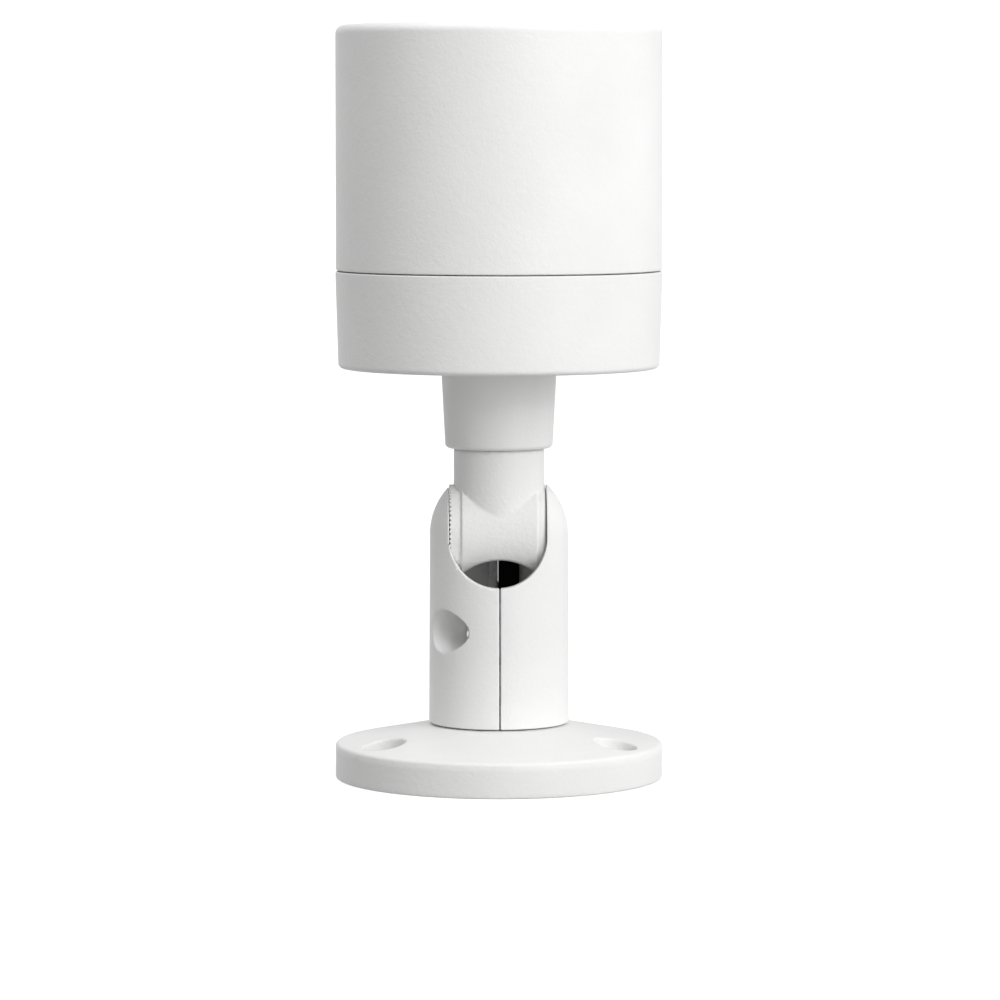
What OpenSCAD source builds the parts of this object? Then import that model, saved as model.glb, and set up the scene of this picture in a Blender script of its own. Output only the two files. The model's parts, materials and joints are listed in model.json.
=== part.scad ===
// Bullet security camera on a three-axis swivel stem and round wall flange.
// Millimetres. Origin: centre of the flange's mounting face. +Z runs out from
// the wall along the stem, -Y is the side the stem's slot opens to, +X is the
// right-hand stem half. At rest the body stands in line with the stem.

/* [Flange] */
// Radius of the wall flange
flange_r = 40.4; // [39:0.1:42]
// Height of the flange rim's upper edge
rim_h = 8.5; // [7.5:0.1:9.5]
// Height of the flat on top of the flange's cone
cone_h = 13.3; // [12.8:0.1:13.4]
// Pitch circle diameter of the wall screws
wall_pcd = 65; // [62:0.5:66]
// Radius of a wall screw hole
wall_hole_r = 2.25; // [1.8:0.05:2.6]
// Radius of the cable bore through the base
cable_r = 9; // [8:0.1:9.2]

/* [Stem] */
// Outer radius of the stem at its foot
stem_r = 17.3; // [17:0.05:17.35]
// Outer radius of the stem at the pivot, and of its domed top
stem_top_r = 17.05; // [16.95:0.05:17.2]
// Inner radius of the stem's cable channel
stem_bore_r = 14.5; // [14.45:0.05:14.8]
// Height of the tilt pivot above the wall
pivot_z = 61; // [60.5:0.5:61.5]
// Half width of the slot between the two ears
slot_w = 11.95; // [11.9:0.05:12]
// Height of the clamp screw
clamp_z = 37.2; // [36:0.2:38]
// Distance of the clamp screw in front of the axis
clamp_y = 10.05; // [9.8:0.05:10.2]

/* [Knuckle] */
// Outer radius of the knuckle's tube
tube_r = 11.15; // [11:0.05:11.2]
// Radius of the knuckle's barrel
barrel_r = 12; // [11.8:0.05:12]
// Radius of the end discs, of which the left one is toothed
disc_r = 11.3; // [11.1:0.05:11.3]
// Number of teeth on the left end disc
teeth = 60; // [40:2:72]
// Radius of the roll journal
journal_r = 10.9; // [10.85:0.01:10.92]

/* [Body] */
// Outer radius of the main housing
body_r = 40; // [39.5:0.1:40.1]
// Height of the front end above the wall
body_top = 185; // [184:0.5:187]
// Height of the seam between the two housings
seam_z = 125; // [124.5:0.1:125]
// Number of infrared lamps
lamps = 12; // [6:1:14]
// Radius of the circle the lamps stand on
lamp_ring_r = 22.5; // [21.5:0.1:23.5]

/* [Hidden] */
$fn = 96;
gap = 0.3;
slit = 0.15;
// height of the dome's centre and of the slot's round bottom
dome_z = pivot_z - 0.9;
// the slot lies this far to the left of the joint between the halves
slot_shift = 0.2;

body_col = [0.86, 0.86, 0.85];
screw_pos = [30, 150, 270];
board_pos = [45, 135, 225, 315];

// Points of a fillet arc, for the lathe profiles.
function arc(cx, cy, r, a0, a1, n = 8) =
  [for (i = [0 : n]) [cx + r * cos(a0 + (a1 - a0) * i / n),
                      cy + r * sin(a0 + (a1 - a0) * i / n)]];

module ring(ro, ri, z0, z1) {
  translate([0, 0, z0]) difference() {
    cylinder(h = z1 - z0, r = ro);
    translate([0, 0, -1]) cylinder(h = z1 - z0 + 2, r = ri);
  }
}
module disc(r, z0, z1) { translate([0, 0, z0]) cylinder(h = z1 - z0, r = r); }
module xcyl(r, x0, x1) { translate([x0, 0, 0]) rotate([0, 90, 0]) cylinder(h = x1 - x0, r = r); }
module block(x0, x1, y0, y1, z0, z1) { translate([x0, y0, z0]) cube([x1 - x0, y1 - y0, z1 - z0]); }
module around(list, r) { for (a = list) rotate([0, 0, a]) translate([r, 0, 0]) children(); }
// A headed screw that points along -Z from the origin.
module screw(r, len, head_r, head_h, key) {
  difference() {
    union() {
      translate([0, 0, -len]) cylinder(h = len + 0.01, r = r, $fn = 32);
      cylinder(h = head_h, r = head_r, $fn = 48);
    }
    translate([0, 0, head_h * 0.35]) cylinder(h = head_h, r = key, $fn = 6);
  }
}

// ---- base -------------------------------------------------------------
wall_angles = [210, 330, 90];

module base_flange() {
  color(body_col) difference() {
    union() {
      rotate_extrude() polygon(concat(
        [[0, 0], [flange_r - 0.5, 0], [flange_r, 0.5]],
        arc(flange_r - 0.8, rim_h - 0.8, 0.8, 0, 78),
        [[18.2, cone_h - 0.35], [17.5, cone_h], [0, cone_h]]));
      disc(13.3, cone_h - 0.5, 24.5);
    }
    // cable bore
    translate([0, 0, -1]) cylinder(h = 30, r = cable_r);
    // retention groove for the stem halves
    ring(14, 11.6, 17, 19.6);
    // gasket groove in the mounting face
    ring(38.2, 35.9, -1, 1.5);
    // wall screw holes with counterbores
    around(wall_angles, wall_pcd / 2) {
      translate([0, 0, -1]) cylinder(h = 30, r = wall_hole_r);
      translate([0, 0, 5.5]) cylinder(h = 20, r = 5.2);
    }
  }
}

module base_gasket() {
  color([0.1, 0.1, 0.1]) ring(38.2, 35.9, 0, 1.5);
}

// ---- stem -------------------------------------------------------------
// off shifts the slot along X, as seen from the half being made.
module stem_solid(off) {
  difference() {
    union() {
      translate([0, 0, 13.6]) cylinder(h = dome_z - 13.6, r1 = stem_r, r2 = stem_top_r);
      translate([0, 0, dome_z]) sphere(r = stem_top_r);
    }
    // cable channel, leaving the retention rim at the foot
    translate([0, 0, 19.3]) cylinder(h = 50.2 - 19.3, r = stem_bore_r);
    // the channel runs on behind the knuckle
    intersection() {
      translate([0, 0, 50]) cylinder(h = 8, r = stem_bore_r);
      block(-9.6, 9.6, 0, 20, 49, 59);
    }
    translate([0, 0, 10]) cylinder(h = 7.3, r = 13.8);
    translate([0, 0, 10]) cylinder(h = 12, r = 11.95);
    // stepped pocket for the knuckle
    translate([0, 0, pivot_z]) {
      xcyl(barrel_r + gap, -9.6, 9.6);
      xcyl(disc_r + gap, -slot_w, slot_w + off);
      translate([off, 0, 0]) cylinder(h = 30, r = slot_w);
    }
    // slot in the front wall and dome
    block(-slot_w, slot_w + off, -30, 0, dome_z, 100);
    translate([off, 0, dome_z]) rotate([90, 0, 0]) cylinder(h = 30, r = slot_w);
  }
}

// Everything of the stem half on the +X side, before its fastener cut-outs.
module stem_half_body(off) {
  intersection() {
    stem_solid(off);
    block(slit, 30, -30, 30, 0, 100);
  }
  // trunnion that carries the knuckle
  translate([0, 0, pivot_z]) xcyl(4, 9.5, 12.4);
}

module clamp_boss() {
  intersection() {
    translate([0, -clamp_y, clamp_z]) xcyl(6.8, slit, 14);
    translate([0, 0, 20]) cylinder(h = 28, r = 15.2);
  }
}

module dowel_holes() {
  for (z = [30, 46]) translate([0, 15.75, z]) xcyl(0.8, -3.2, 3.2);
}

module stem_half_right() {
  color(body_col) difference() {
    union() { stem_half_body(-slot_shift); clamp_boss(); }
    translate([0, -clamp_y, clamp_z]) {
      xcyl(2.75, -1, 10.1);
      rotate([0, 90, 0]) rotate([0, 0, 30]) translate([0, 0, 4.6]) cylinder(h = 4, r = 4.6, $fn = 6);
    }
    dowel_holes();
  }
}

module stem_half_left() {
  color(body_col) difference() {
    union() {
      mirror([1, 0, 0]) { stem_half_body(slot_shift); clamp_boss(); }
      // rib along the back joint
      intersection() {
        block(-2.4, -slit, 12.3, 15, 26, 58.4);
        translate([0, 0, 20]) cylinder(h = 40, r = 14.8);
      }
    }
    translate([0, -clamp_y, clamp_z]) {
      xcyl(2.75, -20, 1);
      xcyl(5.2, -20, -3.5);
    }
    dowel_holes();
  }
}

module clamp_screw() {
  color([0.7, 0.7, 0.72]) translate([-4.5, -clamp_y, clamp_z]) rotate([0, -90, 0])
    screw(2.5, 14.1, 4.25, 3.5, 2.3);
}
module clamp_washer() {
  color([0.72, 0.72, 0.74]) translate([0, -clamp_y, clamp_z]) difference() {
    xcyl(4.9, -4.5, -3.5);
    xcyl(2.8, -6, -2);
  }
}
module clamp_insert() {
  color([0.78, 0.62, 0.3]) translate([0, -clamp_y, clamp_z]) difference() {
    rotate([0, 90, 0]) rotate([0, 0, 30]) translate([0, 0, 4.6]) cylinder(h = 4, r = 4.6, $fn = 6);
    xcyl(2.55, 0, 12);
  }
}
module stem_dowels() {
  color([0.75, 0.75, 0.77]) for (z = [30, 46]) translate([0, 15.75, z]) xcyl(0.78, -3, 3);
}
module pan_bush() {
  color([0.15, 0.15, 0.16]) ring(stem_bore_r - 0.05, 13.35, 19.3, 24);
}
module cable_guide() {
  color([0.05, 0.05, 0.05]) intersection() {
    block(slit, 5.2, 12.3, 16, 26, 57.8);
    translate([0, 0, 20]) cylinder(h = 40, r = stem_bore_r - 0.05);
  }
}

// ---- knuckle ----------------------------------------------------------
module tooth_disc(x0, x1) {
  translate([x0, 0, pivot_z]) rotate([0, 90, 0]) linear_extrude(height = x1 - x0)
    polygon([for (i = [0 : 2 * teeth - 1]) let(a = i * 180 / teeth, r = (i % 2 == 0) ? disc_r - 0.03 : disc_r - 0.55)
      [r * cos(a), r * sin(a)]]);
}

module knuckle() {
  color(body_col) difference() {
    union() {
      translate([0, 0, pivot_z]) {
        cylinder(h = 81.3 - pivot_z, r = tube_r);
        xcyl(barrel_r, -9.3, 9.3);
        xcyl(disc_r, -11, 11);
      }
      // toothed on the left, plain with a bevelled edge on the right
      tooth_disc(-12.05, -10.9);
      translate([10.9, 0, pivot_z]) rotate([0, 90, 0]) cylinder(h = 0.65, r1 = disc_r - 0.02, r2 = disc_r - 0.8);
      disc(journal_r, 81, 98.4);
      disc(10, 98, 102.4);
    }
    // cable way
    translate([0, 0, 40]) cylinder(h = 70, r = 7.5);
    // flare under the barrel that lets the cable bend as the knuckle tilts
    translate([0, 0, 41.4]) rotate([90, 0, 0]) translate([0, 0, -20]) cylinder(h = 40, r = 13);
    // trunnion bores
    translate([0, 0, pivot_z]) { xcyl(4.05, 9.2, 13); xcyl(4.05, -13, -9.2); }
    // seal grooves
    ring(12, 9.4, 84.7, 86.5);
    ring(12, 9.4, 91.2, 93);
  }
}

module neck_orings() {
  color([0.06, 0.06, 0.06]) for (z = [85.6, 92.1])
    translate([0, 0, z]) rotate_extrude() translate([10.15, 0]) circle(r = 0.74, $fn = 32);
}
module journal_retainer() {
  color([0.7, 0.7, 0.72]) difference() {
    ring(12.4, 10, 98.4, 101.6);
    for (a = [0, 90, 180, 270]) rotate([0, 0, a]) block(10.9, 14, -1.2, 1.2, 100, 103);
  }
}

// ---- housings ---------------------------------------------------------
module rear_housing() {
  color(body_col) difference() {
    union() {
      rotate_extrude() polygon(concat(
        [[journal_r + 0.05, 81.45]],
        arc(13.28 - 1.1, 81.45 + 1.1, 1.1, -90, -4),
        arc(14.16 + 0.5, 101.1 - 0.5, 0.5, 176, 90),
        arc(39.5 - 1.2, 101.1 + 1.2, 1.2, -90, -3),
        [[40.15, seam_z - 0.15], [37.15, seam_z - 0.15], [37.15, 128], [35.6, 128],
         [35.6, 121], [37.3, 119.5], [37.3, 103.6], [13, 103.6], [13, 98.1],
         [journal_r + 0.05, 98.1]]));
      // bosses that carry the long housing screws
      around(screw_pos, 33.4) disc(3.2, 103.5, 128);
      // pads under the board's stand-offs
      around(board_pos, 25.5) disc(3.4, 103.5, 105);
      // guide of the reset button
      translate([0, 23, 0]) disc(3.8, 103.5, 118);
      // seat of the microphone
      translate([-18, -3, 0]) ring(4.4, 3.3, 103.5, 106);
    }
    around(screw_pos, 33.4) {
      translate([0, 0, 100]) cylinder(h = 30, r = 1.7);
      translate([0, 0, 100]) cylinder(h = 4, r = 3.1);
    }
    around(board_pos, 25.5) translate([0, 0, 103]) cylinder(h = 4, r = 1.3);
    // reset button's bore, with room for its collar at the inner end
    translate([0, 23, 100]) cylinder(h = 20, r = 2.2);
    // sound hole
    translate([-18, -3, 100]) cylinder(h = 6, r = 0.8);
    // seal groove around the joint
    translate([0, 0, 126]) ring(38, 36.5, 0, 1.2);
  }
}

module main_housing() {
  color(body_col) difference() {
    union() {
      rotate_extrude() polygon(concat(
        [[37.5, seam_z + 0.15], [body_r, seam_z + 0.15]],
        arc(body_r - 2.2, body_top - 2.2, 2.2, 0, 90),
        [[36.6, body_top], [35.9, body_top - 0.6], [35.6, body_top - 1.7], [35.4, 180.3], [31.5, 180.3], [31.5, 178.3],
         [37.5, 178.3]]));
      // bosses for the housing screws and the bracket
      around(screw_pos, 33.4) {
        disc(3.2, 128, 139);
        block(2.4, 4.6, -2.2, 2.2, 128.6, 139);
      }
    }
    around(screw_pos, 33.4) {
      translate([0, 0, 120]) cylinder(h = 13, r = 1.35);
      translate([0, 0, 134.5]) cylinder(h = 5, r = 1.05);
    }
  }
}

module housing_seal() { color([0.08, 0.08, 0.08]) ring(37.5, 36.5, 126, 127.2); }

module housing_screws() {
  color([0.72, 0.72, 0.74]) around(screw_pos, 33.4) translate([0, 0, 104]) rotate([180, 0, 0])
    screw(1.35, 28, 2.8, 2.4, 1.3);
}

module front_window() {
  color([0.6, 0.66, 0.7, 0.35]) disc(35.2, 181.3, 183.3);
}
module window_gasket() { color([0.06, 0.06, 0.06]) ring(35.2, 32, 180.3, 181.3); }

// ---- optics -----------------------------------------------------------
module lamp_positions() {
  for (i = [0 : lamps - 1]) rotate([0, 0, i * 360 / lamps + 15]) translate([lamp_ring_r, 0, 0]) children();
}

module front_mask() {
  color([0.05, 0.05, 0.06]) difference() {
    union() {
      ring(36.8, 11, 175.6, 178.3);
      around([0, 120, 240], 29) disc(2.4, 167.6, 176);
    }
    lamp_positions() translate([0, 0, 170]) cylinder(h = 10, r1 = 2.9, r2 = 4.4);
    rotate([0, 0, 300]) translate([29, 0, 170]) cylinder(h = 10, r = 1.6);
    around([0, 120, 240], 29) translate([0, 0, 167]) cylinder(h = 6, r = 0.9);
  }
}
module lens_shroud() { color([0.04, 0.04, 0.04]) ring(12.6, 10.2, 178.3, 181.3); }
module led_board() {
  color([0.05, 0.3, 0.15]) difference() {
    ring(33.5, 13, 166, 167.6);
    around([0, 120, 240], 29) translate([0, 0, 160]) cylinder(h = 10, r = 1.1);
  }
}
module ir_leds() {
  color([0.3, 0.26, 0.3]) lamp_positions() {
    disc(2.9, 167.6, 168.6);
    disc(2.5, 168.6, 171.2);
    translate([0, 0, 171.2]) intersection() { sphere(r = 2.5, $fn = 48); block(-3, 3, -3, 3, 0, 3); }
  }
}
module light_sensor() {
  color([0.7, 0.65, 0.5]) rotate([0, 0, 300]) translate([29, 0, 0]) { disc(1.5, 167.6, 170); }
}
module led_board_screws() {
  color([0.72, 0.72, 0.74]) around([0, 120, 240], 29) translate([0, 0, 166]) rotate([180, 0, 0])
    screw(0.9, 6, 1.9, 1.4, 0.8);
}
module lens_barrel() {
  color([0.06, 0.06, 0.07]) difference() {
    rotate_extrude() polygon([[0, 152], [7, 152], [7, 163], [10.2, 165], [10.2, 177.4], [9.6, 178], [0, 178]]);
    translate([0, 0, 151]) cylinder(h = 30, r = 5.2);
    translate([0, 0, 172]) cylinder(h = 10, r = 8.4);
  }
}
module front_lens() {
  color([0.35, 0.3, 0.5, 0.4]) intersection() {
    disc(8.4, 172, 176.5);
    translate([0, 0, 159.6]) sphere(r = 16.5);
  }
}
module rear_lens() {
  color([0.5, 0.5, 0.6, 0.4]) intersection() {
    disc(5.2, 153.5, 157);
    translate([0, 0, 147]) sphere(r = 10);
  }
}
module lens_holder() {
  color([0.07, 0.07, 0.08]) difference() {
    union() { block(-14, 14, -8, 8, 149.6, 152); disc(9.2, 151.5, 162); }
    translate([0, 0, 149]) cylinder(h = 20, r = 7);
  }
}
module ir_cut_tray() {
  color([0.08, 0.08, 0.09]) difference() {
    block(-14, 14, -8, 8, 143.6, 148.8);
    block(-5.4, 5.4, -5.4, 5.4, 143, 146.3);
    block(-4, 4, -4, 4, 143, 150);
    block(-11.6, 11.6, -4.4, 4.4, 147, 150);
  }
}
module ir_cut_cover() {
  color([0.1, 0.1, 0.11]) difference() {
    block(-14, 14, -8, 8, 148.8, 149.6);
    block(-4, 4, -4, 4, 148, 150);
  }
}
module ir_cut_coil() {
  color([0.72, 0.4, 0.2]) translate([0, 10.4, 146]) { xcyl(2.4, -4, 4); xcyl(1, -6, 6); block(-6, -4.6, -2.4, 2.4, -2.4, 2.4); block(4.6, 6, -2.4, 2.4, -2.4, 2.4); }
}
module ir_cut_slider() {
  color([0.75, 0.75, 0.78]) difference() {
    block(-11.2, 4.2, -4.1, 4.1, 147.3, 148.5);
    block(-10.3, -3.7, -3.3, 3.3, 147, 149);
    block(-3.3, 3.3, -3.3, 3.3, 147, 149);
  }
}
module ir_filter() { color([0.2, 0.6, 0.6, 0.5]) block(-10.3, -3.7, -3.3, 3.3, 147.6, 148.2); }
module clear_filter() { color([0.8, 0.85, 0.85, 0.3]) block(-3.3, 3.3, -3.3, 3.3, 147.6, 148.2); }
module image_sensor() {
  color([0.2, 0.25, 0.3]) block(-4.6, 4.6, -4.6, 4.6, 143.6, 145.3);
}
module sensor_board() {
  color([0.05, 0.3, 0.15]) difference() {
    block(-19, 19, -15, 15, 142, 143.6);
    for (x = [-16.5, 16.5], y = [-12.5, 12.5]) translate([x, y, 140]) cylinder(h = 6, r = 1.1);
  }
}
module sensor_bracket() {
  color([0.7, 0.7, 0.71]) difference() {
    union() {
      intersection() {
        disc(24, 139, 140.4);
        block(-24, 24, -16, 16, 138, 141);
      }
      around(screw_pos, 0) block(14, 36.2, -3.2, 3.2, 139, 140.4);
      for (x = [-16.5, 16.5], y = [-12.5, 12.5]) translate([x, y, 0]) disc(2.1, 140, 142);
    }
    translate([0, 0, 138]) cylinder(h = 4, r = 10);
    for (x = [-16.5, 16.5], y = [-12.5, 12.5]) translate([x, y, 137]) cylinder(h = 8, r = 0.9);
    around(screw_pos, 33.4) translate([0, 0, 137]) cylinder(h = 6, r = 1.15);
  }
}
module bracket_screws() {
  color([0.72, 0.72, 0.74]) around(screw_pos, 33.4) translate([0, 0, 140.4]) screw(1.05, 5, 2.1, 1.5, 0.9);
}
module sensor_screws() {
  color([0.72, 0.72, 0.74]) for (x = [-16.5, 16.5], y = [-12.5, 12.5]) translate([x, y, 143.6]) screw(0.9, 4, 1.8, 1.2, 0.8);
}

// ---- electronics ------------------------------------------------------
module main_board() {
  color([0.05, 0.32, 0.16]) difference() {
    disc(29.5, 126.4, 128);
    around(board_pos, 25.5) translate([0, 0, 120]) cylinder(h = 10, r = 1.4);
  }
}
module board_standoffs() {
  color([0.78, 0.62, 0.3]) around(board_pos, 25.5) difference() {
    union() { translate([0, 0, 105]) cylinder(h = 21.4, r = 2.6, $fn = 6); disc(1.3, 103, 105); }
    translate([0, 0, 121.5]) cylinder(h = 6, r = 1.25);
  }
}
module board_screws() {
  color([0.72, 0.72, 0.74]) around(board_pos, 25.5) translate([0, 0, 128]) screw(1.25, 6, 2.4, 1.6, 0.9);
}
module processor() { color([0.12, 0.12, 0.13]) block(-7, 7, -9, 5, 128, 129.6); }
module memory_chips() {
  color([0.12, 0.12, 0.13]) { block(9, 17, -8, 3, 128, 129.1); block(-17.5, -9, -8, 3, 128, 129.1); }
}
module ethernet_jack() {
  color([0.7, 0.7, 0.72]) difference() {
    block(-8, 8, -6.9, 6.9, 111.5, 126.4);
    block(-6, 6, -4.2, 4.2, 111, 123.4);
    block(-3.2, 3.2, 4, 5.8, 111, 121);
  }
}
module poe_transformer() { color([0.15, 0.13, 0.12]) block(-6.5, 6.5, 8, 19, 128, 136.4); }
module capacitors() {
  color([0.1, 0.12, 0.2]) for (p = [[-14, 12], [14, 12]]) translate([p[0], p[1], 0]) { disc(4, 128, 137); }
}
module sd_card_slot() {
  color([0.75, 0.75, 0.77]) difference() {
    block(-7.2, 7.2, -24, -9.5, 124.4, 126.4);
    block(-5.7, 5.7, -25, -10.5, 125, 125.9);
  }
}
module sensor_ribbon() {
  color([0.75, 0.55, 0.2]) { block(4, 12, -16.9, -16.6, 128, 142); block(4, 12, -16.7, -12.8, 141.7, 142); }
}
module microphone() { color([0.6, 0.6, 0.62]) translate([-18, -3, 0]) disc(3.3, 103.6, 105.8); }
module reset_switch() { color([0.2, 0.2, 0.22]) translate([0, 23, 0]) { block(-3, 3, -3, 3, 123.4, 126.4); disc(1.6, 122.7, 123.4); } }
module reset_button() {
  color([0.1, 0.1, 0.11]) translate([0, 23, 0]) {
    disc(1.9, 101.4, 119);
    disc(3, 118.3, 120.2);
    disc(1.5, 120, 122.1);
  }
}

base_flange();
base_gasket();
stem_half_left();
stem_half_right();
clamp_screw();
clamp_washer();
clamp_insert();
stem_dowels();
pan_bush();
cable_guide();
knuckle();
neck_orings();
journal_retainer();
rear_housing();
main_housing();
housing_seal();
housing_screws();
front_window();
window_gasket();
front_mask();
lens_shroud();
led_board();
ir_leds();
light_sensor();
led_board_screws();
lens_barrel();
front_lens();
rear_lens();
lens_holder();
ir_cut_tray();
ir_cut_cover();
ir_cut_coil();
ir_cut_slider();
ir_filter();
clear_filter();
image_sensor();
sensor_board();
sensor_bracket();
bracket_screws();
sensor_screws();
main_board();
processor();
memory_chips();
ethernet_jack();
poe_transformer();
capacitors();
sd_card_slot();
board_standoffs();
board_screws();
sensor_ribbon();
microphone();
reset_switch();
reset_button();
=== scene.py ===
"""Looks of the bullet security camera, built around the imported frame."""
import json
import math

import bmesh
import bpy
import numpy as np
import openvdb as vdb
from mathutils import Matrix, Vector


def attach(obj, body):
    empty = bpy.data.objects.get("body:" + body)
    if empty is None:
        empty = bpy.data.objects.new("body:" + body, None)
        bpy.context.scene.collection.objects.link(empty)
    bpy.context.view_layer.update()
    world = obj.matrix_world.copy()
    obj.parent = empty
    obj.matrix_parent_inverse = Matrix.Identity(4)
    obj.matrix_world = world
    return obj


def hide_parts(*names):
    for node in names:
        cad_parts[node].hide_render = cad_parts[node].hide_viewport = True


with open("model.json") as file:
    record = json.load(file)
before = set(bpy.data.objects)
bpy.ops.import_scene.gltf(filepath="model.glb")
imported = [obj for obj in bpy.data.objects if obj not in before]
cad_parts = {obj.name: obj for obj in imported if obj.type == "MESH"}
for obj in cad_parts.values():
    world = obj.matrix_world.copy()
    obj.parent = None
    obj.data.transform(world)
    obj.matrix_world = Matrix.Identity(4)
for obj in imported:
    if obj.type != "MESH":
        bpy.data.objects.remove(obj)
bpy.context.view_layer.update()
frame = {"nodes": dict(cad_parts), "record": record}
MM = 0.001

# ---------------------------------------------------------------- materials


def new_mat(name, color, rough, metallic=0.0, ior=1.5, coat=0.0):
    m = bpy.data.materials.new(name)
    m.use_nodes = True
    nt = m.node_tree
    p = nt.nodes["Principled BSDF"]
    p.inputs["Base Color"].default_value = (*color, 1)
    p.inputs["Roughness"].default_value = rough
    p.inputs["Metallic"].default_value = metallic
    p.inputs["IOR"].default_value = ior
    p.inputs["Coat Weight"].default_value = coat
    m.diffuse_color = (*color, 1)
    return m, nt, p


def noise(nt, scale, detail=2.0, rough=0.5, coords="Object", stretch=None):
    tc = nt.nodes.new("ShaderNodeTexCoord")
    n = nt.nodes.new("ShaderNodeTexNoise")
    n.inputs["Scale"].default_value = scale
    n.inputs["Detail"].default_value = detail
    n.inputs["Roughness"].default_value = rough
    if stretch:
        mp = nt.nodes.new("ShaderNodeMapping")
        mp.inputs["Scale"].default_value = stretch
        nt.links.new(tc.outputs[coords], mp.inputs["Vector"])
        nt.links.new(mp.outputs["Vector"], n.inputs["Vector"])
    else:
        nt.links.new(tc.outputs[coords], n.inputs["Vector"])
    return n.outputs["Fac"]


def ramp(nt, fac, stops):
    r = nt.nodes.new("ShaderNodeValToRGB")
    e = r.color_ramp.elements
    while len(e) < len(stops):
        e.new(0.5)
    for k, (pos, col) in enumerate(stops):
        e[k].position = pos
        e[k].color = (*col, 1) if len(col) == 3 else col
    nt.links.new(fac, r.inputs["Fac"])
    return r.outputs["Color"]


def spread(nt, fac, lo, hi):
    """A factor of 0 to 1 mapped onto lo to hi."""
    m = nt.nodes.new("ShaderNodeMapRange")
    m.inputs["From Min"].default_value = 0.25
    m.inputs["From Max"].default_value = 0.75
    m.inputs["To Min"].default_value = lo
    m.inputs["To Max"].default_value = hi
    nt.links.new(fac, m.inputs["Value"])
    return m.outputs["Result"]


def bump(nt, p, height, strength, distance, chain=None):
    b = nt.nodes.new("ShaderNodeBump")
    b.inputs["Strength"].default_value = strength
    b.inputs["Distance"].default_value = distance
    nt.links.new(height, b.inputs["Height"])
    if chain is not None:
        nt.links.new(chain, b.inputs["Normal"])
    nt.links.new(b.outputs["Normal"], p.inputs["Normal"])
    return b.outputs["Normal"]


def tone(color, k):
    return tuple(min(1.0, c * k) for c in color)


def shell_plastic(name, color, rough=0.52, depth=1.0):
    """Matte moulded plastic with a fine spark-eroded grain."""
    m, nt, p = new_mat(name, color, rough)
    broad = noise(nt, 38.0, 3.0, 0.55)
    nt.links.new(ramp(nt, broad, [(0.3, tone(color, 0.975)), (0.7, tone(color, 1.02))]), p.inputs["Base Color"])
    grain = noise(nt, 1500.0, 3.0, 0.6)
    coarse = noise(nt, 620.0, 2.0, 0.5)
    nt.links.new(spread(nt, grain, rough - 0.05, rough + 0.07), p.inputs["Roughness"])
    first = bump(nt, p, coarse, 0.8, 0.0001 * depth)
    bump(nt, p, grain, 0.8, 0.00008 * depth, first)
    return m


def plain(name, color, rough, metallic=0.0, scale=900.0, depth=0.00003, vary=0.06, coat=0.0, stretch=None, level=0.5):
    """A material with small tone and roughness variation and a fine surface."""
    m, nt, p = new_mat(name, color, rough, metallic, coat=coat)
    p.inputs["Specular IOR Level"].default_value = level
    n = noise(nt, scale, 3.0, 0.55, stretch=stretch)
    nt.links.new(ramp(nt, n, [(0.3, tone(color, 1 - vary)), (0.7, tone(color, 1 + vary))]), p.inputs["Base Color"])
    nt.links.new(spread(nt, n, max(0.02, rough - 0.06), min(1, rough + 0.08)), p.inputs["Roughness"])
    bump(nt, p, n, 0.5, depth)
    return m


def glassy(name, color, rough, ior, alpha_like=1.0, coat=0.0, level=0.5, tint=(1, 1, 1)):
    """Glass. A lower level or a tint stands for an anti-reflection coating."""
    m, nt, p = new_mat(name, color, rough, ior=ior, coat=coat)
    p.inputs["Transmission Weight"].default_value = alpha_like
    p.inputs["Specular IOR Level"].default_value = level
    p.inputs["Specular Tint"].default_value = (*tint, 1)
    n = noise(nt, 60.0, 2.0, 0.5)
    nt.links.new(ramp(nt, n, [(0.3, tone(color, 0.985)), (0.7, tone(color, 1.0))]), p.inputs["Base Color"])
    return m


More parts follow.
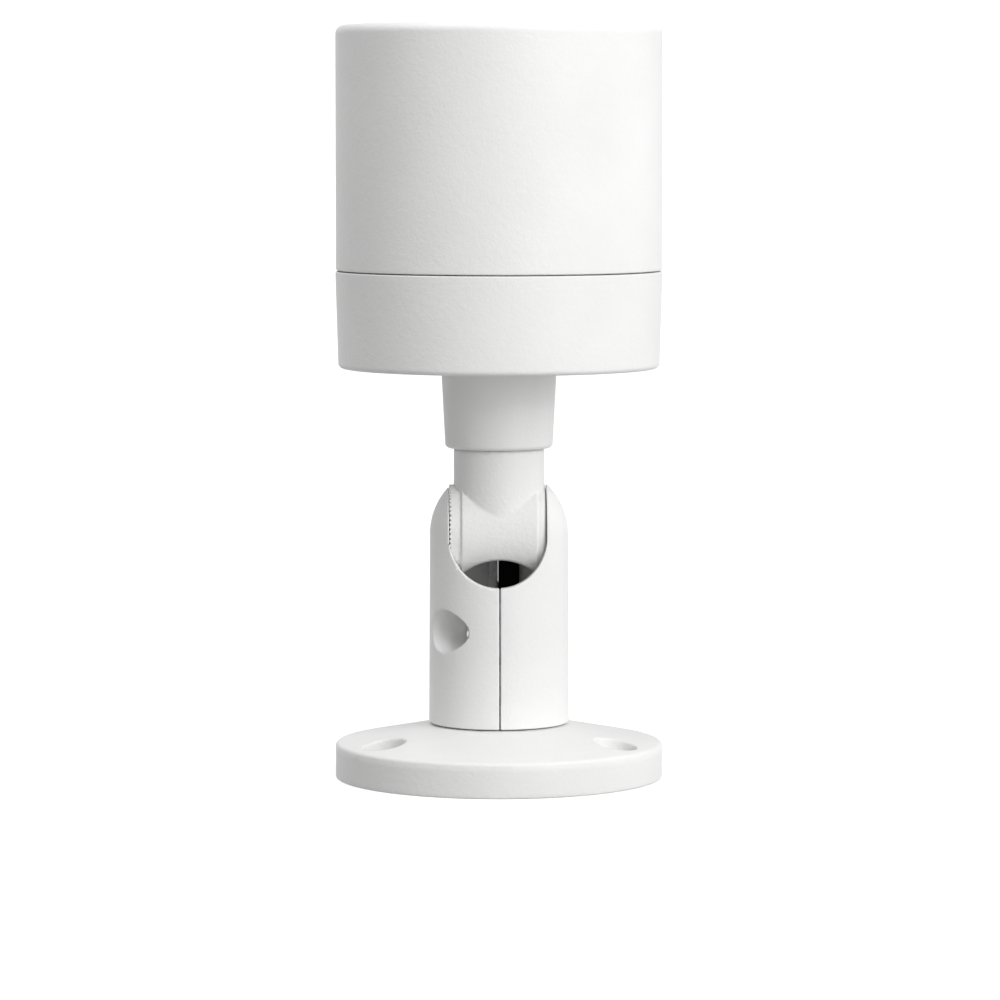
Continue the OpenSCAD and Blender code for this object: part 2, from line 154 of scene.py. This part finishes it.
MAT = {
    "body_plastic": shell_plastic("body_plastic", (0.83, 0.83, 0.825)),
    "seal_rubber": plain("seal_rubber", (0.005, 0.005, 0.005), 0.85, scale=1400, depth=0.00004, vary=0.2, level=0.2),
    "black_plastic": plain("black_plastic", (0.008, 0.008, 0.0085), 0.45, scale=1600, depth=0.00003, vary=0.15, level=0.15),
    "bush_plastic": plain("bush_plastic", (0.05, 0.05, 0.055), 0.45, scale=1300, depth=0.00002, vary=0.12),
    "screw_steel": plain("screw_steel", (0.62, 0.61, 0.6), 0.3, metallic=1.0, scale=700, depth=0.00001, vary=0.08),
    "sheet_metal": plain("sheet_metal", (0.66, 0.66, 0.67), 0.34, metallic=1.0, scale=260, depth=0.00001, vary=0.06, stretch=(1, 14, 1)),
    "insert_brass": plain("insert_brass", (0.78, 0.56, 0.24), 0.3, metallic=1.0, scale=700, depth=0.00001, vary=0.08),
    "coil_copper": plain("coil_copper", (0.78, 0.36, 0.17), 0.32, metallic=1.0, scale=400, depth=0.00004, vary=0.15, stretch=(6, 1, 1)),
    "lens_metal": plain("lens_metal", (0.02, 0.02, 0.022), 0.38, metallic=0.4, scale=1200, depth=0.00001, vary=0.15),
    "lamp_epoxy": plain("lamp_epoxy", (0.10, 0.055, 0.08), 0.12, scale=500, depth=0.000004, vary=0.2, coat=1.0),
    "circuit_board": plain("circuit_board", (0.012, 0.12, 0.05), 0.35, scale=500, depth=0.00001, vary=0.3, coat=0.4),
    "chip_black": plain("chip_black", (0.025, 0.025, 0.027), 0.55, scale=1500, depth=0.00002, vary=0.2),
    "ribbon_film": plain("ribbon_film", (0.5, 0.24, 0.05), 0.3, scale=300, depth=0.00001, vary=0.15, stretch=(12, 1, 1)),
    "window_glass": glassy("window_glass", (0.96, 0.975, 0.98), 0.0, 1.49, 1.0, level=0.16),
    "lens_glass": glassy("lens_glass", (0.42, 0.4, 0.5), 0.0, 1.6, 1.0, tint=(0.6, 0.5, 1.0)),
    "filter_glass": glassy("filter_glass", (0.35, 0.75, 0.8), 0.0, 1.5, 1.0),
}

slot_of = {s["node"]: s["material_slot"] for s in frame["record"]["subparts"]}
for node, ob in frame["nodes"].items():
    ob.data.materials.clear()
    ob.data.materials.append(MAT[slot_of[node]])

# ---------------------------------------------------------------- mesh tools


def link(name, me, body, node, slot=None, mat=None):
    """Puts a mesh of the piece that stands for one CAD node on its body."""
    ob = bpy.data.objects.new(name, me)
    bpy.context.scene.collection.objects.link(ob)
    s = slot or slot_of[node]
    me.materials.clear()
    me.materials.append(mat or MAT[s])
    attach(ob, body)
    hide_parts(node)
    return ob


def build_mesh(name, verts, faces, smooth=True, sharp=None):
    me = bpy.data.meshes.new(name)
    me.from_pydata([tuple(v) for v in verts], [], faces)
    me.validate()
    me.update()
    if smooth:
        me.polygons.foreach_set("use_smooth", [True] * len(me.polygons))
    if sharp is not None:
        me.set_sharp_from_angle(angle=math.radians(sharp))
    return me


def arc(cx, cy, r, a0, a1, n=8):
    return [
        (cx + r * math.cos(math.radians(a0 + (a1 - a0) * i / n)), cy + r * math.sin(math.radians(a0 + (a1 - a0) * i / n)))
        for i in range(n + 1)
    ]


def line(p, q, n):
    return [(p[0] + (q[0] - p[0]) * i / n, p[1] + (q[1] - p[1]) * i / n) for i in range(n + 1)]


def lathe(profile, seg=192, centre=(0, 0), closed=True):
    """Vertices and faces of a profile of (radius, height), in mm, turned about Z. Points on the axis are merged."""
    pts = []
    for p in profile:
        if not pts or math.dist(p, pts[-1]) > 1e-5:
            pts.append(p)
    if closed and math.dist(pts[0], pts[-1]) < 1e-5:
        pts.pop()
    verts, rings = [], []
    for r, z in pts:
        if r < 1e-6:
            rings.append([len(verts)])
            verts.append((centre[0] * MM, centre[1] * MM, z * MM))
        else:
            k = len(verts)
            rings.append(list(range(k, k + seg)))
            for i in range(seg):
                a = 2 * math.pi * i / seg
                verts.append(((centre[0] + r * math.cos(a)) * MM, (centre[1] + r * math.sin(a)) * MM, z * MM))
    faces = []
    count = len(rings) if closed else len(rings) - 1
    for j in range(count):
        a, b = rings[j], rings[(j + 1) % len(rings)]
        for i in range(seg):
            k = (i + 1) % seg
            if len(a) == 1 and len(b) == 1:
                break
            if len(a) == 1:
                faces.append((a[0], b[k], b[i]))
            elif len(b) == 1:
                faces.append((a[i], a[k], b[0]))
            else:
                faces.append((a[i], a[k], b[k], b[i]))
    return verts, faces


def facing_out(me):
    bm = bmesh.new()
    bm.from_mesh(me)
    bmesh.ops.recalc_face_normals(bm, faces=bm.faces)
    if bm.calc_volume(signed=True) < 0:
        bmesh.ops.reverse_faces(bm, faces=bm.faces)
    bm.to_mesh(me)
    bm.free()
    me.update()


def lathe_mesh(name, profile, seg=192, sharp=32, **k):
    v, f = lathe(profile, seg, **k)
    me = build_mesh(name, v, f)
    facing_out(me)
    me.set_sharp_from_angle(angle=math.radians(sharp))
    return me


def joined(name, parts, sharp=32):
    """One mesh of several vertex and face lists."""
    verts, faces = [], []
    for v, f in parts:
        k = len(verts)
        verts += v
        faces += [tuple(i + k for i in face) for face in f]
    me = build_mesh(name, verts, faces)
    facing_out(me)
    me.set_sharp_from_angle(angle=math.radians(sharp))
    return me


def cut(ob, cutters):
    """Takes closed lathes (profile, centre) out of ob with an exact boolean."""
    me = joined("cutter", [lathe(p, 48, c) for p, c in cutters])
    tool = bpy.data.objects.new("cutter", me)
    bpy.context.scene.collection.objects.link(tool)
    mod = ob.modifiers.new("cut", "BOOLEAN")
    mod.operation, mod.solver, mod.object = "DIFFERENCE", "EXACT", tool
    dg = bpy.context.evaluated_depsgraph_get()
    new = bpy.data.meshes.new_from_object(ob.evaluated_get(dg))
    ob.modifiers.clear()
    ob.data = new
    bpy.data.objects.remove(tool)
    new.polygons.foreach_set("use_smooth", [True] * len(new.polygons))
    new.set_sharp_from_angle(angle=math.radians(32))


# Signed distances in mm, negative inside. The round joins are arcs of radius r.


def r_and(a, b, r):
    return np.minimum(-r, np.maximum(a, b)) + np.hypot(np.maximum(a + r, 0), np.maximum(b + r, 0))


def r_or(a, b, r):
    return np.maximum(r, np.minimum(a, b)) - np.hypot(np.maximum(r - a, 0), np.maximum(r - b, 0))


def slab(x, lo, hi):
    return np.abs(x - (lo + hi) / 2) - (hi - lo) / 2


def sdf_mesh(name, f, lo, hi, h, adapt=0.0):
    """A closed mesh of the surface f = 0 inside the box, each vertex moved onto the true surface."""
    lo, hi = np.array(lo, float) - 2.5 * h, np.array(hi, float) + 2.5 * h
    n = np.ceil((hi - lo) / h).astype(int) + 1
    ax = [(lo[k] + h * np.arange(n[k])).astype(np.float32) for k in range(3)]
    X, Y, Z = np.meshgrid(*ax, indexing="ij")
    vals = f(X, Y, Z).astype(np.float32)
    band = np.float32(3 * h)
    vals = np.clip(vals, -band, band)
    grid = vdb.FloatGrid(float(band))
    grid.gridClass = vdb.GridClass.LEVEL_SET
    grid.copyFromArray(vals)
    pts, tris, quads = grid.convertToPolygons(0.0, adapt)
    p = pts.astype(float) * h + lo

    def grad(q):
        e = 0.01
        x, y, z = q[:, 0], q[:, 1], q[:, 2]
        return np.stack(
            [
                f(x + e, y, z) - f(x - e, y, z),
                f(x, y + e, z) - f(x, y - e, z),
                f(x, y, z + e) - f(x, y, z - e),
            ],
            1,
        ) / (2 * e)

    for _ in range(4):
        v = f(p[:, 0], p[:, 1], p[:, 2])
        g = grad(p)
        step = -(v / np.maximum((g * g).sum(1), 0.2))[:, None] * g
        size = np.linalg.norm(step, axis=1, keepdims=True)
        p += step * np.minimum(1, 0.5 * h / np.maximum(size, 1e-9))
    faces = [tuple(q) for q in quads.tolist()] + [tuple(t) for t in tris.tolist()]
    me = build_mesh(name, p * MM, faces)
    bm = bmesh.new()
    bm.from_mesh(me)
    bmesh.ops.remove_doubles(bm, verts=bm.verts, dist=0.01 * MM)
    bmesh.ops.dissolve_degenerate(bm, edges=bm.edges, dist=0.005 * MM)
    loose = [v for v in bm.verts if not v.link_faces]
    bmesh.ops.delete(bm, geom=loose, context="VERTS")
    if bm.calc_volume(signed=True) < 0:
        bmesh.ops.reverse_faces(bm, faces=bm.faces)
    bm.to_mesh(me)
    bm.free()
    me.update()
    me.polygons.foreach_set("use_smooth", [True] * len(me.polygons))
    co = np.empty(len(me.vertices) * 3)
    me.vertices.foreach_get("co", co)
    g = grad(co.reshape(-1, 3) / MM)
    g /= np.maximum(np.linalg.norm(g, axis=1, keepdims=True), 1e-9)
    me.normals_split_custom_set_from_vertices(g.tolist())
    print("sdf", name, len(me.vertices), "vertices", len(me.polygons), "faces")
    return me


# ---------------------------------------------------------------- stem halves
PIVOT = 61.0
DOME = 60.1


def rho(x, y):
    return np.hypot(x, y)


def stem_shell(x, y, z, off):
    """The whole stem before it is split, with rounded lips round its openings. The slot is off centre by off."""
    R = 17.3 + (17.05 - 17.3) * np.clip((z - 13.6) / (DOME - 13.6), 0, 1)
    side = rho(x, y) - R
    dome = np.sqrt(x * x + y * y + (z - DOME) ** 2) - 17.05
    outer = np.where(z > DOME, dome, side)
    u = x + off
    outer = r_and(outer, 13.6 - z, 0.35)
    q = z - PIVOT
    xr = np.hypot(y, q)
    bore = np.maximum(rho(x, y) - 14.5, slab(z, 19.3, 50.2))
    behind = np.maximum.reduce([rho(x, y) - 14.5, slab(z, 48.0, 58.0), np.abs(x) - 9.6])
    foot = np.minimum(
        np.maximum(rho(x, y) - 13.8, z - 17.3),
        np.maximum(rho(x, y) - 11.95, z - 22),
    )
    pocket = np.minimum(
        np.maximum(xr - 12.3, np.abs(x) - 9.6),
        np.maximum(xr - 11.6, np.abs(u) - 11.95),
    )
    top = np.maximum(rho(u, y) - 11.95, -q)
    front = np.maximum(
        np.minimum(
            np.maximum(np.abs(u) - 11.95, DOME - z),
            np.hypot(u, z - DOME) - 11.95,
        ),
        y,
    )
    hollow = np.minimum.reduce([bore, behind, foot, pocket, top, front])
    return r_and(outer, -hollow, 0.4)


def stem_half(x, y, z, off):
    """The half on the +X side, with its trunnion and its clamp boss."""
    half = r_and(stem_shell(x, y, z, off), 0.15 - x, 0.28)
    trunnion = r_and(np.hypot(y, z - PIVOT) - 4.0, slab(x, 9.5, 12.4), 0.2)
    boss = np.maximum.reduce([np.hypot(y + 10.05, z - 37.2) - 6.8, slab(x, 0.15, 14.0), rho(x, y) - 15.2])
    boss = np.maximum(boss, slab(z, 20, 48))
    return np.minimum.reduce([half, trunnion, boss])


def hexagon(u, v, r):
    """Distance to a hexagon of corner radius r, flat sides along v."""
    a = r * math.cos(math.radians(30))
    return np.maximum.reduce([np.abs(v), np.abs(v * 0.5 + u * 0.8660254), np.abs(v * 0.5 - u * 0.8660254)]) - a


def dowels(x, y, z):
    d = np.minimum(np.hypot(y - 15.75, z - 30), np.hypot(y - 15.75, z - 46)) - 0.8
    return np.maximum(d, np.abs(x) - 3.2)


def stem_right(x, y, z):
    s = stem_half(x, y, z, 0.4)
    hole = np.maximum(np.hypot(y + 10.05, z - 37.2) - 2.75, x - 10.1)
    nut = np.maximum(hexagon(z - 37.2, y + 10.05, 4.6), slab(x, 4.6, 8.6))
    s = r_and(s, -hole, 0.15)
    return np.maximum.reduce([s, -nut, -dowels(x, y, z)])


def stem_left(x, y, z):
    s = stem_half(-x, y, z, -0.4)
    rib = np.maximum.reduce([slab(x, -2.4, -0.15), slab(y, 12.3, 15), slab(z, 26, 58.4), rho(x, y) - 14.8])
    s = r_or(s, rib, 0.2)
    d = np.hypot(y + 10.05, z - 37.2)
    s = r_and(s, -np.maximum(d - 5.2, x + 3.46), 0.35)
    s = np.maximum(s, -np.maximum(d - 2.75, x - 1))
    return np.maximum(s, -dowels(x, y, z))


link("stem_right_shell", sdf_mesh("stem_right_shell", stem_right, (0, -17.4, 13.4), (17.4, 17.4, 74.5), 0.28, 0.006), "stem", "stem_half_right")
link("stem_left_shell", sdf_mesh("stem_left_shell", stem_left, (-17.4, -17.4, 13.4), (0, 17.4, 74.5), 0.28, 0.006), "stem", "stem_half_left")


def strip():
    """Thin strip in the back joint between the halves, narrower beside the knuckle."""
    verts, faces = [], []
    for x0, z0, z1 in ((-0.14, 20.0, 45.1), (0.02, 45.11, 59.0)):
        k = len(verts)
        for z in (z0, z1):
            verts += [(x0, 14.7, z), (0.14, 14.7, z), (0.14, 16.5, z), (x0, 16.5, z)]
        faces += [(k, k + 3, k + 2, k + 1), (k + 4, k + 5, k + 6, k + 7)]
        faces += [(k + i, k + (i + 1) % 4, k + 4 + (i + 1) % 4, k + 4 + i) for i in range(4)]
    return build_mesh("joint_strip", [tuple(c * MM for c in v) for v in verts], faces, smooth=False)


link("joint_strip", strip(), "stem", "stem_half_left", slot="seal_rubber")

# ---------------------------------------------------------------- knuckle


def knuckle(x, y, z):
    q = z - PIVOT
    xr = np.hypot(y, q)
    tube = r_and(np.maximum(rho(x, y) - 11.15, PIVOT - z), z - 81.3, 0.3)
    barrel = r_and(xr - 12.0, np.abs(x) - 9.3, 0.35)
    turn = np.arctan2(y, q) * (60 / (2 * math.pi))
    wave = np.abs(turn - np.floor(turn) - 0.5) * 2
    notch = np.clip((wave - 0.4) / 0.45, 0, 1) * np.clip((xr - 6.5) / 2, 0, 1)
    toothed = r_and(xr - 11.3, (-x - (12.3 - 0.36 * notch)) * 0.75, 0.06)
    plain_end = r_and(xr - 11.3, x - 11.4, 1.25)
    discs = np.where(x < 0, toothed, plain_end)
    body = r_or(r_or(barrel, discs, 0.55), tube, 0.18)
    journal = np.maximum(rho(x, y) - 10.9, slab(z, 80.5, 98.4))
    thread = r_and(rho(x, y) - 10.0 - 0.12 * np.cos((z - 98) * 2 * math.pi / 0.8), slab(z, 98, 102.4), 0.15)
    body = np.minimum.reduce([body, journal, thread])
    grooves = np.minimum(slab(z, 84.7, 86.5), slab(z, 91.2, 93.0))
    body = np.maximum(body, -np.maximum(grooves, 9.4 - rho(x, y)))
    body = r_and(body, -(rho(x, y) - 7.5), 0.25)
    body = r_and(body, -(np.hypot(x, z - 41.4) - 13.0), 0.6)
    bores = np.maximum(xr - 4.05, 9.2 - np.abs(x))
    return np.maximum(body, -bores)


link("knuckle_body", sdf_mesh("knuckle_body", knuckle, (-12.35, -12.1, 50.5), (11.5, 12.1, 102.5), 0.26, 0.01), "knuckle", "knuckle", mat=shell_plastic("knuckle_plastic", (0.83, 0.83, 0.825), depth=1.6))

# ---------------------------------------------------------------- wall flange


def flange(x, y, z):
    r = rho(x, y)
    slope = math.atan2(12.95 - 8.5, 40.4 - 18.2)
    cone = (z - 8.5) * math.cos(slope) + (r - 40.4) * math.sin(slope)
    top = np.maximum(cone, z - 13.3)
    body = r_and(r - 40.38, top, 0.8)
    body = r_and(body, -z, 0.4)
    hub = r_and(r - 13.3, slab(z, 12.0, 24.5), 0.4)
    body = np.minimum(body, hub)
    groove = np.maximum(slab(z, 17.0, 19.6), 11.6 - r)
    body = np.maximum(body, -groove)
    body = r_and(body, -(r - 9.0), 0.4)
    seal = np.maximum(slab(r, 35.9, 38.2), z - 1.5)
    body = np.maximum(body, -seal)
    for a in (210, 330, 90):
        d = np.hypot(x - 32.5 * math.cos(math.radians(a)), y - 32.5 * math.sin(math.radians(a)))
        body = r_and(body, -np.maximum(d - 5.2, 5.5 - z), 0.4)
        body = np.maximum(body, -(d - 2.25))
    return body


link("wall_flange", sdf_mesh("wall_flange", flange, (-40.5, -40.5, 0), (40.5, 40.5, 24.6), 0.36, 0.01), "base", "base_flange")

# ---------------------------------------------------------------- housings
rear_profile = (
    [(10.95, 98.1), (10.95, 82.0), (11.15, 81.45)]
    + arc(13.28 - 1.15, 81.45 + 1.15, 1.15, -90, -3, 10)
    + line((13.29, 83.0), (14.12, 99.2), 6)
    + arc(14.16 + 1.1, 101.1 - 1.1, 1.1, 176, 90, 8)
    + line((15.8, 101.1), (37.9, 101.1), 6)
    + arc(39.5 - 1.25, 101.1 + 1.25, 1.25, -90, -2, 10)
    + line((39.52, 102.9), (40.14, 124.4), 8)
    + arc(40.14 - 0.3, 124.85 - 0.3, 0.3, 0, 90, 5)
    + [(37.15, 124.85), (37.15, 126.0), (36.5, 126.0), (36.5, 127.2), (37.15, 127.2), (37.15, 127.7), (36.8, 128.0), (35.6, 128.0), (35.6, 121.0), (37.3, 119.5), (37.3, 103.6), (13.0, 103.6), (13.0, 98.1)]
)
rear = link("rear_cover_shell", lathe_mesh("rear_cover_shell", rear_profile, 256), "camera", "rear_housing")

ang = lambda a, r: (r * math.cos(math.radians(a)), r * math.sin(math.radians(a)))  # noqa: E731
screw_at = [ang(a, 33.4) for a in (30, 150, 270)]
board_at = [ang(a, 25.5) for a in (45, 135, 225, 315)]


def add_to(ob, parts):
    """Unites closed lathes (profile, centre) with ob."""
    me = joined("adder", [lathe(p, 48, c) for p, c in parts])
    tool = bpy.data.objects.new("adder", me)
    bpy.context.scene.collection.objects.link(tool)
    mod = ob.modifiers.new("add", "BOOLEAN")
    mod.operation, mod.solver, mod.object = "UNION", "EXACT", tool
    dg = bpy.context.evaluated_depsgraph_get()
    new = bpy.data.meshes.new_from_object(ob.evaluated_get(dg))
    ob.modifiers.clear()
    ob.data = new
    bpy.data.objects.remove(tool)


def rod(r, z0, z1, c=0.0):
    return [(0, z0), (r - c, z0), (r, z0 + c), (r, z1 - c), (r - c, z1), (0, z1)]


add_to(
    rear,
    [(rod(3.2, 103.0, 128.0), c) for c in screw_at]
    + [(rod(3.4, 103.0, 105.0), c) for c in board_at]
    + [(rod(3.8, 103.0, 118.0), (0, 23))],
)
cut(
    rear,
    [([(0, 100.5), (3.45, 100.5), (3.45, 101.0), (3.1, 101.45), (3.1, 104.0), (1.7, 104.0), (1.7, 130), (0, 130)], c) for c in screw_at]
    + [(rod(1.3, 103.0, 107.0), c) for c in board_at]
    + [([(0, 100.5), (2.55, 100.5), (2.55, 101.0), (2.2, 101.4), (2.2, 120), (0, 120)], (0, 23))]
    + [([(0, 100.5), (1.1, 100.5), (0.8, 101.4), (0.8, 106), (0, 106)], (-18, -3))],
)

main_profile = (
    [(37.5, 125.15)]
    + arc(40.0 - 0.3, 125.15 + 0.3, 0.3, -90, 0, 5)
    + line((40.0, 126.0), (40.0, 182.4), 10)
    + arc(40.0 - 2.2, 185.0 - 2.2, 2.2, 0, 90, 14)
    + [(36.7, 185.0)]
    + arc(36.5 - 0.0, 185.0 - 0.6, 0.6, 90, 180, 6)
    + [(35.6, 183.6), (35.45, 183.3), (35.45, 180.3), (31.7, 180.3), (31.5, 180.1), (31.5, 178.3), (37.5, 178.3)]
)
main = link("front_cover_shell", lathe_mesh("front_cover_shell", main_profile, 256), "camera", "main_housing")
add_to(main, [(rod(3.2, 128.0, 139.0), c) for c in screw_at])
cut(main, [(rod(1.35, 127.5, 133), c) for c in screw_at] + [(rod(1.05, 134.5, 139.5), c) for c in screw_at])

# ---------------------------------------------------------------- front end
window = [(0, 181.3), (34.9, 181.3), (35.2, 181.6), (35.2, 183.0), (34.9, 183.3), (0, 183.3)]
link("window_pane", lathe_mesh("window_pane", window, 192), "camera", "front_window")

lamps = [ang(15 + 30 * i, 22.5) for i in range(12)]
mask_profile = (
    [(11.0, 175.6), (36.8, 175.6), (36.8, 178.3), (12.9, 178.3)]
    + arc(11.8, 177.5, 0.8, 90, 180, 5)
)
mask = link("front_mask_plate", lathe_mesh("front_mask_plate", mask_profile, 192), "camera", "front_mask")
add_to(mask, [(rod(2.4, 167.6, 176.0), ang(a, 29)) for a in (0, 120, 240)])
cut(
    mask,
    [([(0, 175), (3.55, 175), (3.7, 175.6), (4.15, 177.9), (4.5, 178.6), (0, 178.6)], c) for c in lamps]
    + [(rod(1.6, 175, 179), ang(300, 29))]
    + [(rod(0.9, 167, 173), ang(a, 29)) for a in (0, 120, 240)],
)

led_parts = []
for c in lamps:
    led_parts.append(
        lathe([(0, 167.6), (2.9, 167.6), (2.9, 168.5), (2.5, 168.6), (2.5, 171.2)] + arc(0, 171.2, 2.5, 0, 90, 12)[1:], 40, c)
    )
link("lamp_domes", joined("lamp_domes", led_parts), "camera", "ir_leds")

barrel_profile = [(5.2, 152), (7.0, 152), (7.0, 163), (10.2, 165), (10.2, 177.2)]
for k in range(9):
    z = 165.6 + k * 1.1
    barrel_profile[-1:-1] = [(10.2, z), (10.0, z + 0.15), (10.0, z + 0.45), (10.2, z + 0.6)]
barrel_profile += arc(9.7, 177.5, 0.5, 0, 90, 5) + [(9.3, 178.0), (9.05, 177.6), (8.7, 177.4), (8.5, 176.2), (8.4, 174.6), (8.4, 172.0), (5.2, 172.0)]
link("lens_tube", lathe_mesh("lens_tube", barrel_profile, 128), "camera", "lens_barrel")

dome = [(0.0, 172.0), (8.4, 172.0)] + [
    (16.5 * math.sin(t), 159.6 + 16.5 * math.cos(t)) for t in [math.asin(8.4 / 16.5) * (1 - i / 18) for i in range(19)]
]
dome[-1] = (0.0, 176.1)
link("front_element", lathe_mesh("front_element", dome, 96), "camera", "front_lens")
rear_dome = [(0.0, 153.5), (5.2, 153.5)] + [
    (10 * math.sin(t), 147 + 10 * math.cos(t)) for t in [math.asin(5.2 / 10) * (1 - i / 12) for i in range(13)]
]
rear_dome[-1] = (0.0, 157.0)
link("rear_element", lathe_mesh("rear_element", rear_dome, 64), "camera", "rear_lens")

shroud = [(10.4, 178.3), (12.5, 178.3), (12.6, 178.5), (12.3, 179.4), (12.5, 180.3), (12.4, 181.25), (10.9, 181.25), (10.3, 180.4), (10.2, 178.5)]
link("lens_collar", lathe_mesh("lens_collar", shroud, 128), "camera", "lens_shroud")

# ---------------------------------------------------------------- stage
CAM_Z, CAM_Y = 0.1611, -1.125
cam_data = bpy.data.cameras.new("camera")
cam = bpy.data.objects.new("camera", cam_data)
bpy.context.scene.collection.objects.link(cam)
cam_data.sensor_width = 36
cam_data.lens = 164.9
YAW = -0.0137
cam.location = (0.00025 + CAM_Y * math.tan(-YAW), CAM_Y, CAM_Z)
cam.rotation_euler = (math.radians(90 - 4.706), 0, YAW)
cam_data.clip_start, cam_data.clip_end = 0.05, 20
bpy.context.scene.camera = cam

bpy.context.scene.view_settings.view_transform = "Standard"
bpy.context.scene.view_settings.look = "None"

world = bpy.data.worlds.new("studio")
world.use_nodes = True
world.node_tree.nodes["Background"].inputs["Color"].default_value = (1, 1, 1, 1)
world.node_tree.nodes["Background"].inputs["Strength"].default_value = 0.355
bpy.context.scene.world = world


def backdrop():
    """A pale floor that curves up into a wall behind the part."""
    w, front, back, top, r = 3.0, -2.2, 1.6, 2.4, 0.8
    prof = [(front, 0.0), (0.2, 0.0)] + [(back - r + r * math.sin(math.radians(a)), r - r * math.cos(math.radians(a))) for a in range(0, 91, 6)] + [(back, top)]
    verts, faces = [], []
    for y, z in prof:
        verts += [(-w, y, z - 0.00005), (w, y, z - 0.00005)]
    for i in range(len(prof) - 1):
        faces.append((2 * i, 2 * i + 1, 2 * i + 3, 2 * i + 2))
    me = build_mesh("backdrop", verts, faces)
    ob = bpy.data.objects.new("backdrop", me)
    bpy.context.scene.collection.objects.link(ob)
    ob.visible_diffuse = False
    m, nt, p = new_mat("backdrop_paper", (0.9, 0.9, 0.9), 0.8)
    n = noise(nt, 300.0, 2.0)
    nt.links.new(ramp(nt, n, [(0.3, (0.89, 0.89, 0.89)), (0.7, (0.91, 0.91, 0.91))]), p.inputs["Base Color"])
    p.inputs["Emission Color"].default_value = (1, 1, 1, 1)
    p.inputs["Emission Strength"].default_value = 0.55
    me.materials.append(m)
    return ob


def bounce_card(strength):
    """The floor's glow on the part, held apart from the seen floor so that the undersides keep their shade."""
    s, z = 0.9, 0.0004
    me = build_mesh("bounce_card", [(-s, -s, z), (s, -s, z), (s, s, z), (-s, s, z)], [(0, 1, 2, 3)])
    ob = bpy.data.objects.new("bounce_card", me)
    bpy.context.scene.collection.objects.link(ob)
    ob.visible_camera = ob.visible_glossy = ob.visible_shadow = ob.visible_transmission = False
    m, nt, p = new_mat("bounce_glow", (0.0, 0.0, 0.0), 1.0)
    p.inputs["Specular IOR Level"].default_value = 0.0
    p.inputs["Emission Color"].default_value = (1, 1, 1, 1)
    p.inputs["Emission Strength"].default_value = strength
    me.materials.append(m)
    return ob


bounce_card(0.327)
backdrop()


def area(name, loc, aim, size, power):
    d = bpy.data.lights.new(name, "AREA")
    d.shape = "RECTANGLE"
    d.size, d.size_y = size
    d.energy = power
    ob = bpy.data.objects.new(name, d)
    bpy.context.scene.collection.objects.link(ob)
    ob.location = loc
    ob.rotation_mode = "QUATERNION"
    ob.rotation_quaternion = (Vector(aim) - Vector(loc)).to_track_quat("-Z", "Y")
    return ob


def lamp(name, azimuth, elevation, power, size=0.8, far=1.3):
    """A softbox on a sphere round the part. Azimuth 0 is in front of it, and positive is to its right."""
    a, e = math.radians(azimuth), math.radians(elevation)
    aim = Vector((0, 0, 0.09))
    d = Vector((math.sin(a) * math.cos(e), -math.cos(a) * math.cos(e), math.sin(e)))
    ob = area(name, aim + d * far, aim, (size, size), power)
    ob.visible_camera = False
    return ob


lamp("key_high", 35, 35, 8.51)
lamp("key_low", 35, 5, 6.73)
lamp("side_low", 110, 5, 3.58)
lamp("rim_high", -110, 65, 1.86)
lamp("fill_high", -70, 65, 3.17)
lamp("rim_low", -110, 5, 0.84)
lamp("overhead", 0, 89.9, 3.04, size=1.0, far=1.41)
